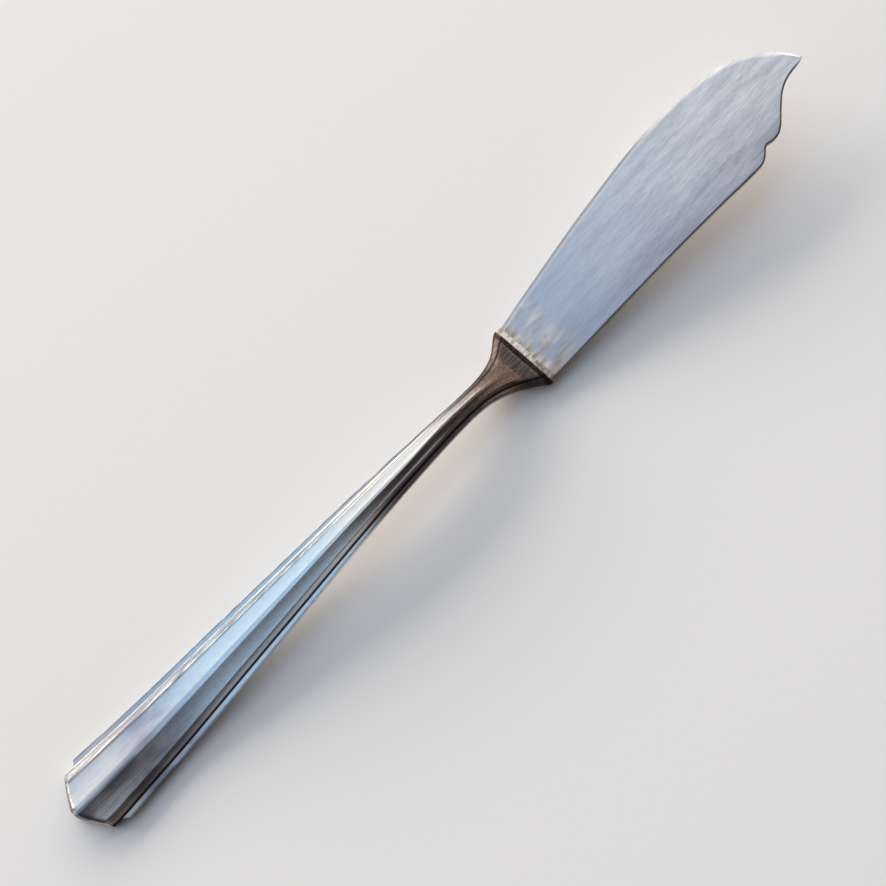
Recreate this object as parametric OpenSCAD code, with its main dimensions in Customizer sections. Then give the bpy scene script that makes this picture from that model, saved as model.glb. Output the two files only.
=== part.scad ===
// Fish knife: a struck and fluted handle, a flat notched blade and the solder that joins them.
// +X runs from the handle's end to the blade's tip, +Y is the belly side of the blade, +Z is up
// as the knife lies on a table. The origin is on the table, below the middle of the knife.
// Inside the modules, X is measured from the handle's end and Y from the knife's own axis.

/* [Overall] */
// Length from the handle's end to the blade's tip
overall_length = 205; // [195:1:215]
// Length of the handle, from its end to the seam with the blade
handle_length = 122; // [114:1:128]

/* [Grip] */
// Width of the grip over its two side ledges, at the wide end
grip_width = 15.4; // [14:0.1:17]
// Width of the raised panel between the ledges, at the wide end
panel_width = 12.9; // [12:0.1:13.8]
// Length of the blunt point that ends the panel
point_depth = 3.5; // [2:0.1:5]
// Distance from the handle's end to the start of the ledges
ledge_start = 5.5; // [5:0.1:9]
// Length of the slanted cut that ends each ledge
ledge_cut = 1.1; // [0.6:0.1:2]
// Thickness of the ledges at the wide end
ledge_thickness = 2.1; // [1.4:0.1:2.8]
// Height of the panel's side creases above the ledges
crease_rise = 1.1; // [0.6:0.1:1.4]
// Height of the middle ridge above the side creases
ridge_rise = 0.55; // [0.3:0.05:0.8]
// Depth of the two flutes below the side creases
flute_depth = 0.2; // [0.1:0.05:0.4]
// Width of the flat crest that runs along the ridge, at the wide end
crest_width = 1.3; // [0.6:0.1:2]
// Width of the bevel round the pointed end of the panel
end_bevel = 1.1; // [0.6:0.1:1.6]

/* [Neck and shoulder] */
// Width of the neck at its narrowest
neck_width = 4.8; // [4.4:0.1:6]
// Thickness of the neck's side walls
neck_thickness = 3.1; // [2.6:0.1:3.8]
// Clear height under the arch of the neck
arch_height = 6.4; // [4:0.1:7]
// Distance from the seam back to the narrowest part of the neck
flare_length = 17.5; // [14:0.5:20]
// How far the shoulder stands out past the blade on each side
shoulder_margin = 0.35; // [0.3:0.05:0.6]
// Thickness of the shoulder
shoulder_thickness = 3.2; // [3:0.1:4]
// Depth of the groove that crosses the top of the shoulder
groove_depth = 0.4; // [0.2:0.05:0.6]
// Width of the groove that crosses the top of the shoulder
groove_width = 1.6; // [1:0.1:2]

/* [Blade] */
// Width of the blade at the seam
blade_root_width = 14.9; // [14:0.1:15.4]
// Distance from the knife's axis to the fullest part of the belly edge
belly_depth = 13.3; // [11:0.1:15]
// Distance from the knife's axis to the widest part of the spine edge
spine_depth = 9.2; // [8.6:0.1:10]
// Thickness of the blade at the seam
blade_root_thickness = 1.6; // [1.4:0.1:1.9]
// Thickness of the blade at the tip
blade_tip_thickness = 1.1; // [0.9:0.1:1.4]
// How far the bevels along the blade's edges fall on each face
edge_drop = 0.2; // [0.1:0.05:0.3]
// Width of the bevel along the belly edge
belly_bevel = 0.9; // [0.5:0.05:1.2]
// Width of the bevel along the spine edge
spine_bevel = 0.35; // [0.2:0.05:0.6]
// Height of the tip's middle plane above the table
tip_height = 13; // [7:0.5:16]

/* [Joint] */
// Length of the tongue that the blade pushes into the shoulder
tongue_length = 7.5; // [5:0.1:8]
// Width of the tongue at the seam
tongue_width = 9.4; // [7:0.1:10]
// Width of the tongue at its inner end
tongue_end_width = 3; // [2:0.1:3.4]
// Thickness of the tongue
tongue_thickness = 1; // [0.8:0.05:1.1]
// Upward bend of the tongue in degrees, so that it follows the neck
tongue_bend = 12; // [9:1:14]
// Clearance all round the tongue in its slot
slot_clearance = 0.05; // [0.02:0.01:0.1]
// Length of the solder fillet on the blade
solder_length = 1.2; // [0.8:0.1:1.6]
// Height of the solder's outer rim inside the shoulder's outline
solder_inset = 0.15; // [0.1:0.05:0.25]
// Thickness of the solder where it runs out on the blade
solder_feather = 0.1; // [0.05:0.05:0.2]

/* [Hidden] */

silver = [0.66, 0.69, 0.74];
blade_silver = [0.62, 0.68, 0.77];
tarnish = [0.55, 0.47, 0.38];

// Width of the shoulder, which the blade sits on
shoulder_width = blade_root_width + 2 * shoulder_margin;
// Stations along the handle, measured from its end
flare_start = handle_length - flare_length;
// Where the handle's end and the knife's axis lie from the middle of the whole knife
end_x = -overall_length / 2;
axis_y = (spine_depth - belly_depth) / 2;
// The middle plane of the blade, which climbs from the seam to the tip
seam_height = shoulder_thickness / 2;
blade_run = overall_length - handle_length;
blade_climb = atan2(tip_height - seam_height, blade_run);
blade_length = blade_run / cos(blade_climb);
// How far cuts run past what they cut
overrun = 1;
// How far the underside is flattened where it rests
rest_flat = 0.08;

// Places along the handle as shares of its length, with the underside's height as a share of the arch
arch_shares = [
    [0, 0.1], [0.035, 0.02], [0.075, 0], [0.15, 0], [0.19, 0.04], [0.235, 0.13], [0.32, 0.33],
    [0.45, 0.58], [0.6, 0.89], [0.69, 1], [0.77, 0.985], [0.83, 0.91], [0.885, 0.7], [0.93, 0.31],
    [0.955, 0.08], [0.968, 0], [1.02, 0]
];
// The flare from the neck to the shoulder: shares of its length and of its growth in width
flare_shares = [
    [0, 0], [0.25, 0.03], [0.45, 0.13], [0.6, 0.28], [0.72, 0.45], [0.83, 0.68], [0.92, 0.9], [0.98, 1],
    [1.1, 1]
];
// Side to side places in the section as shares of the half width: crease and foot of the step
crease_grip_share = 0.68;
crease_neck_share = 0.52;
foot_neck_share = 0.75;
// How much of its width a straight taper loses where the grip draws in before the neck, and how
// soon that begins
waist_share = 0.5;
waist_power = 4;
// Convexity of the pointed end's two sides, 1 for straight ones, and how far its apex is worn back
point_round_share = 0.82;
blunt = 0.25;
// Height of the wall round the pointed end as a share of the panel's own height
end_wall_share = 0.4;
// Half width of the ridge's flat crest as a share of the half width at the creases
crest_share = crest_width / (grip_width * crease_grip_share);
// Shares of the flute's width where its section is drawn, from the crest to the crease
flute_shares = [0, 0.14, 0.32, 0.52, 0.72, 0.88, 1];
// Width of the small chamfer under the panel where it has no ledge
rim = 0.12;
// How soon the steps, flutes and ridge run out before the seam, as shares of the flare
runout_start_share = 0.42;
runout_end_share = 0.86;
// Rounding of the underside, from the wall inwards: shares of the half width and of the wall's height
back_turn_shares = [[1, 0.35], [0.93, 0.12], [0.82, 0.03], [0.6, 0]];
// How much of the shoulder's thickness its rounded sides give away, and how much of that by the step
shoulder_round_share = 0.3;
shoulder_crown_share = 0.2;
// The step's slope bulges: its place between crease and foot, and its height there
step_bulge_shares = [0.5, 0.55];
// How steeply the ridge falls into its flutes, and how far the flutes lean towards it
ridge_fall = 1.6;
flute_lean_share = 0.33;
// How far the thin wall of the wide end reaches up the grip, past 1 for further
thin_wall_share = 1.15;
// Distance from the seam to the middle of the shoulder's groove, as a share of the groove's width
groove_place_share = 0.5;

// The solder's hollow slope: shares of its length and of its fall to the blade
fillet_shares = [[0, 0], [0.25, 0.45], [0.6, 0.85], [1, 1]];

// Belly edge of the blade: shares of its length and of the belly's depth, up to the tip
belly_shares = [
    [0.09, 0.635], [0.19, 0.725], [0.31, 0.832], [0.43, 0.915], [0.535, 0.977], [0.625, 1], [0.715, 0.981],
    [0.797, 0.932], [0.868, 0.808], [0.929, 0.597], [0.974, 0.308]
];
// The bevel narrows towards the tip: its share at the tip and the share of the length that this takes
tip_bevel_share = 0.15;
tip_fade_share = 0.04;
// Spine edge from the seam to its corner: shares of the length and of the spine's depth
spine_shares = [[0.13, 0.825], [0.29, 0.845], [0.44, 0.878], [0.575, 0.93], [0.672, 0.983]];
// The corner, the notch, the small lobe and the hollow that sweeps up to the tip
notch_shares = [[0.715, 1], [0.733, 0.983], [0.746, 0.935], [0.758, 0.852], [0.766, 0.793], [0.775, 0.766]];
lobe_shares = [[0.775, 0.766], [0.786, 0.797], [0.801, 0.81], [0.82, 0.773], [0.84, 0.657]];
hollow_shares = [
    [0.868, 0.446], [0.896, 0.25], [0.923, 0.126], [0.951, 0.067], [0.978, 0.05], [0.993, 0.033]
];

function clamp01(t) = max(0, min(1, t));
function mix(a, b, t) = a + (b - a) * t;
function ease(t) = let (c = clamp01(t)) c * c * (3 - 2 * c);

// Smooth curve through a table of [place, value] rows
function row_of(table, x) = max([for (i = [0 : len(table) - 2]) if (x >= table[i][0] || i == 0) i]);
function row_slope(table, i) =
    let (a = max(i - 1, 0), b = min(i + 1, len(table) - 1))
    (table[b][1] - table[a][1]) / (table[b][0] - table[a][0]);
function curve_at(table, x) =
    let (
        i = row_of(table, x),
        span = table[i + 1][0] - table[i][0],
        u = clamp01((x - table[i][0]) / span),
        m0 = row_slope(table, i) * span,
        m1 = row_slope(table, i + 1) * span
    )
    (2 * u * u * u - 3 * u * u + 1) * table[i][1] + (u * u * u - 2 * u * u + u) * m0
    + (3 * u * u - 2 * u * u * u) * table[i + 1][1] + (u * u * u - u * u) * m1;

// Smooth curve through points in a plane, with a number of steps between each two
function between(a, b, c, d, u) =
    (2 * b + (c - a) * u + (2 * a - 5 * b + 4 * c - d) * u * u + (3 * b - a - 3 * c + d) * u * u * u) / 2;
function through(points, steps) = [
    for (i = [0 : len(points) - 2], k = [0 : steps - 1])
        between(points[max(i - 1, 0)], points[i], points[i + 1], points[min(i + 2, len(points) - 1)],
                k / steps)
];

// Handle: widths and heights at a distance x from its end
function taper_at(x) =
    let (share = grip_share_at(x))
    mix(neck_width, grip_width, share * (1 - waist_share * pow(1 - share, waist_power))) / 2;
function outer_at(x) =
    let (u = (x - flare_start) / flare_length)
    taper_at(x) + (u > 0 ? (shoulder_width - neck_width) / 2 * curve_at(flare_shares, u) : 0);
function runout_at(x) =
    let (u = (x - flare_start) / flare_length)
    1 - ease((u - runout_start_share) / (runout_end_share - runout_start_share));
function grip_share_at(x) = 1 - clamp01((x - ledge_start) / (flare_start - ledge_start));
// Half width of the raised panel, which is pointed at the handle's end
function panel_at(x) =
    let (
        foot_share = mix(foot_neck_share, panel_width / grip_width, grip_share_at(x)),
        point = pow(clamp01((x + blunt) / (point_depth + blunt)), point_round_share)
    )
    min(outer_at(x) * foot_share, panel_width / 2 * point);
// Half width over the ledges, which start with a slanted cut
function half_width_at(x) =
    mix(panel_at(x) + rim, outer_at(x), clamp01((x - ledge_start) / ledge_cut));
function crease_at(x) =
    min(outer_at(x) * mix(crease_neck_share, crease_grip_share, grip_share_at(x)), panel_at(x));
function underside_at(x) = arch_height * curve_at(arch_shares, x / handle_length) - rest_flat;
function wall_at(x) =
    let (grip_wall = mix(neck_thickness, ledge_thickness, ease(grip_share_at(x) * thin_wall_share)))
    rest_flat + mix(grip_wall, shoulder_thickness, 1 - runout_at(x));
// Depth of the groove across the shoulder
function groove_at(x) =
    let (from_middle = abs(x - (handle_length - groove_width * groove_place_share)))
    groove_depth * (1 - ease(2 * from_middle / groove_width));
// How far the pointed end's bevel has climbed at a point, from its share at the outline to 1
function bevel_at(x, y) =
    let (
        rim_x = (point_depth + blunt) * pow(clamp01(abs(y) / (panel_width / 2)), 1 / point_round_share)
            - blunt,
        lean = cos(atan2(point_depth, panel_width / 2)),
        u = clamp01((x - rim_x) * lean / end_bevel)
    )
    mix(end_wall_share, 1, 1 - (1 - u) * (1 - u));

// Height of the fluted surface above the creases, at a share of the way from the crest to a crease
function flute_at(u) =
    ridge_rise * pow(1 - u, ridge_fall) - flute_depth * sin(180 * u) * (1 - u * flute_lean_share);

// One side of the section's top, from the ridge outwards: [side place, height]
function half_top(x) =
    let (
        ledge = underside_at(x) + wall_at(x),
        crease = crease_at(x),
        foot = panel_at(x),
        side = half_width_at(x),
        live = runout_at(x),
        drop = shoulder_round_share * shoulder_thickness * (1 - live),
        base = ledge - groove_at(x),
        bulge = mix(crease, foot, step_bulge_shares[0])
    )
    concat(
        [[0, base + (crease_rise + ridge_rise) * live * bevel_at(x, 0)]],
        [for (u = flute_shares)
            let (y = crease * mix(crest_share, 1, u))
            [y, base + (crease_rise + flute_at(u)) * live * bevel_at(x, y)]],
        [
            [bulge, base + crease_rise * step_bulge_shares[1] * live * bevel_at(x, bulge)],
            [foot, base - drop * shoulder_crown_share],
            [side, ledge - drop - (rim + groove_at(x)) / 2]
        ]
    );
// One side of the section's underside, from the wall inwards
function half_back(x) =
    [for (turn = back_turn_shares)
        [half_width_at(x) * turn[0], underside_at(x) + wall_at(x) * turn[1]]];
function reversed(list) = [for (i = [len(list) - 1 : -1 : 0]) list[i]];
// Whole section, from the belly side over the top to the spine side and back underneath
function ring(x) =
    let (top = half_top(x), back = half_back(x))
    concat(
        [for (p = reversed(top)) [x, p[0], p[1]]],
        [for (i = [1 : len(top) - 1]) [x, -top[i][0], top[i][1]]],
        [for (p = back) [x, -p[0], p[1]]],
        [for (p = reversed(back)) [x, p[0], p[1]]]
    );

// Stations of the rings: close together at the point, the ledge's cut, the flare and the groove
point_rings = 9;
point_crowding = 1.3;
grip_rings = 26;
flare_rings = 22;
stations = concat(
    [for (i = [0 : point_rings - 1]) point_depth * pow(i / point_rings, point_crowding)],
    [for (i = [0 : 2]) mix(point_depth, ledge_start, i / 3)],
    [ledge_start, ledge_start + ledge_cut / 2],
    [for (i = [0 : grip_rings]) mix(ledge_start + ledge_cut, flare_start, i / grip_rings)],
    [for (i = [1 : flare_rings]) flare_start + flare_length * i / flare_rings],
    [handle_length + overrun]
);

// Closed solid over a list of rings of equal count
module skin(rings) {
    n = len(rings[0]);
    last = len(rings) - 1;
    points = [for (r = rings, p = r) p];
    sides = [
        for (i = [0 : last - 1], j = [0 : n - 1], half = [0, 1])
            let (k = (j + 1) % n, a = i * n, b = (i + 1) * n)
            half == 0 ? [a + j, b + j, b + k] : [a + j, b + k, a + k]
    ];
    caps = [[for (j = [0 : n - 1]) j], [for (j = [n - 1 : -1 : 0]) last * n + j]];
    polyhedron(points, faces = concat(caps, sides), convexity = 6);
}

// Puts a shape that is drawn from the handle's end in the knife's own frame
module in_frame() {
    translate([end_x, axis_y, 0]) children();
}

// Puts a shape that is drawn along the blade's middle plane where the blade is
module on_blade() {
    translate([handle_length, 0, seam_height]) rotate([0, -blade_climb, 0]) children();
}

// The tongue's outline, bent up into the neck, with a clearance all round
module tongue(clearance) {
    half_root = tongue_width / 2 + clearance;
    half_end = tongue_end_width / 2 + clearance;
    translate([handle_length, 0, seam_height])
        rotate([0, tongue_bend, 0])
            translate([0, 0, -tongue_thickness / 2 - clearance])
                linear_extrude(tongue_thickness + 2 * clearance)
                    polygon([
                        [overrun, -half_root], [overrun, half_root], [0, half_root],
                        [-tongue_length - clearance, half_end], [-tongue_length - clearance, -half_end],
                        [0, -half_root]
                    ]);
}

// Everything on the handle's side of the seam, or on the blade's side of it
module seam_side(blade_side) {
    reach = overall_length;
    on_blade()
        translate([blade_side ? 0 : -reach, -reach / 2, -reach / 2])
            cube([reach, reach, reach]);
}

module handle() {
    color(silver) in_frame()
        difference() {
            skin([for (x = stations) ring(x)]);
            seam_side(true);
            tongue(slot_clearance);
            translate([-overall_length / 2, -overall_length / 2, -overall_length])
                cube([2 * overall_length, overall_length, overall_length]);
        }
}

// Outline of the blade, from the seam along the belly to the tip and back along the spine
root_straight = solder_length + 2 * rim;
belly_steps = 4;
spine_steps = 3;
belly_curve = through(
    concat([[root_straight, blade_root_width / 2]],
           [for (p = belly_shares) [p[0] * blade_length, p[1] * belly_depth]],
           [[blade_length, 0]]), belly_steps);
spine_curve = through(
    concat([[root_straight, -blade_root_width / 2]],
           [for (p = spine_shares) [p[0] * blade_length, -p[1] * spine_depth]],
           [for (p = notch_shares) [p[0] * blade_length, -p[1] * spine_depth]]), spine_steps);
lobe_curve = through(
    [for (p = concat(lobe_shares, hollow_shares)) [p[0] * blade_length, -p[1] * spine_depth]],
    spine_steps);
outline = concat([[0, blade_root_width / 2]], belly_curve, [[blade_length, 0]],
                 reversed(concat([[0, -blade_root_width / 2]], spine_curve, lobe_curve)));

// How far each outline point moves inwards to the top of its bevel, square to the edge
function inwards(i) =
    let (
        n = len(outline),
        a = outline[max(i - 1, 0)],
        b = outline[min(i + 1, n - 1)],
        t = (b - a) / norm(b - a),
        reach = i <= len(belly_curve) + 1 ? belly_bevel : spine_bevel,
        from_tip = (blade_length - outline[i][0]) / (tip_fade_share * blade_length),
        narrowed = reach * clamp01(tip_bevel_share + from_tip)
    )
    i < 2 ? [0, -reach] : i > n - 3 ? [0, reach] : [t[1], -t[0]] * narrowed;
function half_thickness_at(x) =
    mix(blade_root_thickness, blade_tip_thickness, clamp01(x / blade_length)) / 2;
function half_edge_at(x) = half_thickness_at(x) - edge_drop;

module blade_plate() {
    n = len(outline);
    inner = [for (i = [0 : n - 1]) outline[i] + inwards(i)];
    points = concat(
        [for (p = inner) [p[0], p[1], half_thickness_at(p[0])]],
        [for (p = outline) [p[0], p[1], half_edge_at(p[0])]],
        [for (p = outline) [p[0], p[1], -half_edge_at(p[0])]],
        [for (p = inner) [p[0], p[1], -half_thickness_at(p[0])]]
    );
    bands = [
        for (band = [0 : 2], i = [0 : n - 2], half = [0, 1])
            let (a = band * n + i, b = (band + 1) * n + i)
            half == 0 ? [a, b, b + 1] : [a, b + 1, a + 1]
    ];
    root = [n - 1, 2 * n - 1, 3 * n - 1, 4 * n - 1, 3 * n, 2 * n, n, 0];
    on_blade()
        polyhedron(
            points,
            faces = concat([[for (i = [0 : n - 1]) i]], [[for (i = [n - 1 : -1 : 0]) 3 * n + i]],
                           bands, [root]),
            convexity = 6
        );
}

module blade() {
    color(blade_silver) in_frame() {
        blade_plate();
        difference() {
            tongue(0);
            seam_side(true);
        }
    }
}

// Section of the blade or of the solder round it, half_y wide and half_z high, whose sides stand
// side_z high under the bevels of the belly and the spine
function eight(x, half_y, half_z, side_z) =
    let (belly_y = half_y - belly_bevel, spine_y = spine_bevel - half_y)
    [
        [x, half_y, side_z], [x, belly_y, half_z], [x, spine_y, half_z], [x, -half_y, side_z],
        [x, -half_y, -side_z], [x, spine_y, -half_z], [x, belly_y, -half_z], [x, half_y, -side_z]
    ];

// Closed ring between outer and inner sections of equal count
module sleeve(outer, inner) {
    n = len(outer[0]);
    count = len(outer);
    last = (count - 1) * n;
    shift = count * n;
    walls = [
        for (i = [0 : count - 2], j = [0 : n - 1])
            let (k = (j + 1) % n, a = i * n, b = (i + 1) * n)
            each [
                [a + j, b + j, b + k], [a + j, b + k, a + k],
                [shift + a + j, shift + b + k, shift + b + j], [shift + a + j, shift + a + k, shift + b + k]
            ]
    ];
    ends = [
        for (j = [0 : n - 1])
            let (k = (j + 1) % n)
            each [[j, k, shift + k, shift + j], [last + j, shift + last + j, shift + last + k, last + k]]
    ];
    polyhedron([for (r = concat(outer, inner), p = r) p], faces = concat(walls, ends), convexity = 6);
}

// Solder that fills the corner between the shoulder's end and the blade, all round the blade
module solder_seam() {
    crown = shoulder_round_share * shoulder_thickness / 3;
    root_y = blade_root_width / 2;
    rim_y = shoulder_width / 2 - solder_inset;
    rim_z = seam_height - solder_inset - crown;
    far_y = root_y + solder_feather;
    far_z = blade_root_thickness / 2 + solder_feather;
    places = [for (share = fillet_shares) share[0] * solder_length];
    outer = [
        for (i = [0 : len(places) - 1])
            let (
                y = mix(rim_y, far_y, fillet_shares[i][1]),
                z = mix(rim_z, far_z, fillet_shares[i][1])
            )
            eight(places[i], y, z, half_edge_at(places[i]) + solder_feather)
    ];
    inner = [
        for (x = places)
            eight(x, root_y, half_thickness_at(x), half_edge_at(x))
    ];
    color(tarnish) in_frame() on_blade() sleeve(outer, inner);
}

handle();
blade();
solder_seam();
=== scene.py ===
"""Looks of the fish knife: a fluted silver-plated handle, a satin blade and their solder.

Every piece stands for one CAD node and lies where that node lies. Sizes are in millimetres,
measured from the handle's end along the knife and from the knife's own axis across it, and
become metres of the shared frame when a mesh is made. Two numbers for a zone say where something
starts and where it is whole. Four numbers also say which values it has there.
"""
import logging
import math
from dataclasses import dataclass
from enum import Enum
from typing import Callable, ClassVar, Sequence

import bpy
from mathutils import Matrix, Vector, noise


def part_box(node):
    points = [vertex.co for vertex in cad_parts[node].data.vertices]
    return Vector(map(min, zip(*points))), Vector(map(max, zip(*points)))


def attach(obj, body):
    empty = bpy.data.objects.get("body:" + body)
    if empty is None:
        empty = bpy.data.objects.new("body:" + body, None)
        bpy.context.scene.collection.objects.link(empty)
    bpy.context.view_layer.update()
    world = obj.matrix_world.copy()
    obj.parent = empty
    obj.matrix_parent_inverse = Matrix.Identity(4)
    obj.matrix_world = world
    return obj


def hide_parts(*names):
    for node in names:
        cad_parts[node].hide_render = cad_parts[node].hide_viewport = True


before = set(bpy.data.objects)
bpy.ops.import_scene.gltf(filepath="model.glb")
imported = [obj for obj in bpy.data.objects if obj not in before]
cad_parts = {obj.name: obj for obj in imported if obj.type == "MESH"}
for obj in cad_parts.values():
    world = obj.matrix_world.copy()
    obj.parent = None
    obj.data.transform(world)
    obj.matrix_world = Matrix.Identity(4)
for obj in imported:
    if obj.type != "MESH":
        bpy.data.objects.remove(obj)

LOG = logging.getLogger("fish_knife")
MM = 0.001
WELD = 0.0002 * MM
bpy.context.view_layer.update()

Point = tuple[float, float]
Point3 = tuple[float, float, float]
Four = tuple[float, float, float, float]
Table = Sequence[Point]
Stops = Sequence[tuple[float, str]]


class Side(Enum):
    """The two broad sides of the knife."""

    UPPER = 1
    UNDER = -1


class Joining(Enum):
    """What another solid does where it meets a piece."""

    CUTS = "DIFFERENCE"
    JOINS = "UNION"


class Node(Enum):
    """The kinds of shader node that the finishes and the room are made of."""

    ATTRIBUTE = "ShaderNodeAttribute"
    BUMP = "ShaderNodeBump"
    COORDINATES = "ShaderNodeTexCoord"
    MAPPING = "ShaderNodeMapping"
    MATHS = "ShaderNodeMath"
    MIX = "ShaderNodeMix"
    NOISE = "ShaderNodeTexNoise"
    RAMP = "ShaderNodeValToRGB"
    RANGE = "ShaderNodeMapRange"
    SEPARATE = "ShaderNodeSeparateXYZ"
    VECTOR_MATHS = "ShaderNodeVectorMath"


EASED = {"interpolation_type": "SMOOTHSTEP"}
COLOURS = {"data_type": "RGBA"}
PLUS = {"operation": "ADD", "use_clamp": True}
LESS = {"operation": "SUBTRACT", "use_clamp": True}
TIMES = {"operation": "MULTIPLY", "use_clamp": True}
GREATER = {"operation": "MAXIMUM", "use_clamp": True}


def clamp01(value: float) -> float:
    """Holds a value between 0 and 1."""
    return max(0.0, min(1.0, value))


def mix(a: float, b: float, t: float) -> float:
    """Goes from a to b as t goes from 0 to 1."""
    return a + (b - a) * t


def ease(t: float) -> float:
    """Eases in and out between 0 and 1."""
    c = clamp01(t)
    return c * c * (3 - 2 * c)


def zone(value: float, start: float, end: float) -> float:
    """Eases from 0 at the start of a zone to 1 at its end, in either direction."""
    return ease((value - start) / (end - start))


def slope_at(table: Table, i: int) -> float:
    """Gives a table's slope at one of its rows, from the rows beside it."""
    a, b = table[max(i - 1, 0)], table[min(i + 1, len(table) - 1)]
    return (b[1] - a[1]) / (b[0] - a[0])


def curve_at(table: Table, x: float) -> float:
    """Reads a smooth curve through a table of places and values.

    Args:
        table: Rows of place and value, in rising order of place.
        x: The place to read.

    Returns:
        The value there, held at the table's ends.
    """
    row = max([i for i in range(len(table) - 1) if x >= table[i][0] or i == 0])
    gap = table[row + 1][0] - table[row][0]
    u = clamp01((x - table[row][0]) / gap)
    m0, m1 = slope_at(table, row) * gap, slope_at(table, row + 1) * gap
    start = (2 * u**3 - 3 * u**2 + 1) * table[row][1] + (u**3 - 2 * u**2 + u) * m0
    return start + (3 * u**2 - 2 * u**3) * table[row + 1][1] + (u**3 - u**2) * m1


def through(points: Table, steps: int) -> list[Point]:
    """Draws a smooth curve through points.

    Args:
        points: The points that the curve passes.
        steps: How many steps lie between two of them.

    Returns:
        The curve's points, without the last one.
    """
    curve: list[Point] = []
    last = len(points) - 1
    for i in range(last):
        a, b = points[max(i - 1, 0)], points[i]
        c, d = points[i + 1], points[min(i + 2, last)]
        for k in range(steps):
            u = k / steps
            curve.append(tuple(
                (2 * b[n] + (c[n] - a[n]) * u + (2 * a[n] - 5 * b[n] + 4 * c[n] - d[n]) * u**2
                 + (3 * b[n] - a[n] - 3 * c[n] + d[n]) * u**3) / 2
                for n in (0, 1)))
    return curve


def rounded(points: Table, radii: Sequence[float], steps: int = 4) -> list[Point]:
    """Rounds the corners of an open outline.

    Args:
        points: The outline's corners.
        radii: How far each rounding reaches from its corner, 0 for a corner that stays.
        steps: How many steps each rounding takes.

    Returns:
        The outline with its rounded corners, always with the same count of points.
    """
    most = 0.45
    out: list[Point] = []
    for i, (corner, radius) in enumerate(zip(points, radii)):
        here = Vector(corner)
        if radius <= 0 or i in (0, len(points) - 1):
            out.append(corner)
            continue
        back, ahead = Vector(points[i - 1]) - here, Vector(points[i + 1]) - here
        start = here + back.normalized() * min(radius, back.length * most)
        end = here + ahead.normalized() * min(radius, ahead.length * most)
        for k in range(steps + 1):
            u = k / steps
            out.append(tuple(start * (1 - u)**2 + here * 2 * u * (1 - u) + end * u**2))
    return out


def linear(hex_colour: str) -> Four:
    """Turns an sRGB hex colour into the linear colour that a shader takes."""
    parts = [int(hex_colour[i:i + 2], 16) / 255 for i in (1, 3, 5)]
    return (*[c / 12.92 if c <= 0.04045 else ((c + 0.055) / 1.055)**2.4 for c in parts], 1.0)


def span(start: float, end: float, low: float = 0.0, high: float = 1.0) -> dict[str, float]:
    """Names the four limits of a range, for the inputs of the node that maps it."""
    return {"From Min": start, "From Max": end, "To Min": low, "To Max": high}


def add_node(tree: bpy.types.NodeTree, kind: Node, settings: dict | None = None,
             inputs: dict | None = None, stops: Stops = ()) -> bpy.types.Node:
    """Adds a node with its settings, values, links and colour stops.

    Args:
        tree: The node tree that gets the node.
        kind: The kind of node.
        settings: Values of the node's own properties.
        inputs: For each input, by name or number, a value, a hex colour or a socket to link.
        stops: Places from 0 to 1 with hex colours, for a colour ramp.

    Returns:
        The new node.
    """
    node = tree.nodes.new(kind.value)
    for name, value in (settings or {}).items():
        setattr(node, name, value)
    for name, value in (inputs or {}).items():
        if isinstance(value, bpy.types.NodeSocket):
            tree.links.new(value, node.inputs[name])
        else:
            node.inputs[name].default_value = linear(value) if isinstance(value, str) else value
    while stops and len(node.color_ramp.elements) < len(stops):
        node.color_ramp.elements.new(1.0)
    for i, (place, tone) in enumerate(stops):
        node.color_ramp.elements[i].position = place
        node.color_ramp.elements[i].color = linear(tone)
    return node


def deselect_all() -> None:
    """Leaves nothing selected, so that an operator acts on the new piece alone."""
    if bpy.context.mode != "OBJECT":
        bpy.ops.object.mode_set(mode="OBJECT")
    bpy.ops.object.select_all(action="DESELECT")


def pick(piece: bpy.types.Object) -> None:
    """Makes one piece the only selected and active one.

    Args:
        piece: The piece to pick.
    """
    deselect_all()
    piece.select_set(True)
    bpy.context.view_layer.objects.active = piece


def loft(name: str, rings: Sequence[Sequence[Vector]]) -> bpy.types.Object:
    """Bends a flat grid round into a closed tube over rings of points.

    Args:
        name: The piece's name.
        rings: The rings in order, each with the same count of points, in metres.

    Returns:
        The tube, open at its two ends.
    """
    deselect_all()
    count, around = len(rings), len(rings[0])
    bpy.ops.mesh.primitive_grid_add(x_subdivisions=around, y_subdivisions=count - 1, size=2)
    tube = bpy.context.active_object
    tube.name = tube.data.name = name
    for vertex in tube.data.vertices:
        j = round((vertex.co.x + 1) / 2 * around)
        i = round((vertex.co.y + 1) / 2 * (count - 1))
        vertex.co = rings[i][j % around]
    bpy.ops.object.mode_set(mode="EDIT")
    bpy.ops.mesh.select_all(action="SELECT")
    bpy.ops.mesh.remove_doubles(threshold=WELD)
    bpy.ops.object.mode_set(mode="OBJECT")
    return tube


def close_and_turn_out(piece: bpy.types.Object) -> None:
    """Fills the open ends of a piece, if it has any, and points its faces outwards.

    Args:
        piece: The piece, as one shell.
    """
    pick(piece)
    bpy.ops.object.mode_set(mode="EDIT")
    bpy.ops.mesh.select_mode(type="EDGE")
    bpy.ops.mesh.select_all(action="DESELECT")
    bpy.ops.mesh.select_non_manifold(extend=False, use_wire=False, use_boundary=True,
                                     use_multi_face=False, use_non_contiguous=False,
                                     use_verts=False)
    if piece.data.total_edge_sel:
        bpy.ops.mesh.edge_face_add()
    bpy.ops.mesh.select_all(action="SELECT")
    bpy.ops.mesh.normals_make_consistent(inside=False)
    bpy.ops.object.mode_set(mode="OBJECT")


def smooth_by_angle(piece: bpy.types.Object, degrees: float) -> None:
    """Shades a piece smooth, except across edges that turn more than the angle."""
    pick(piece)
    bpy.ops.object.shade_smooth_by_angle(angle=math.radians(degrees))


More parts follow.
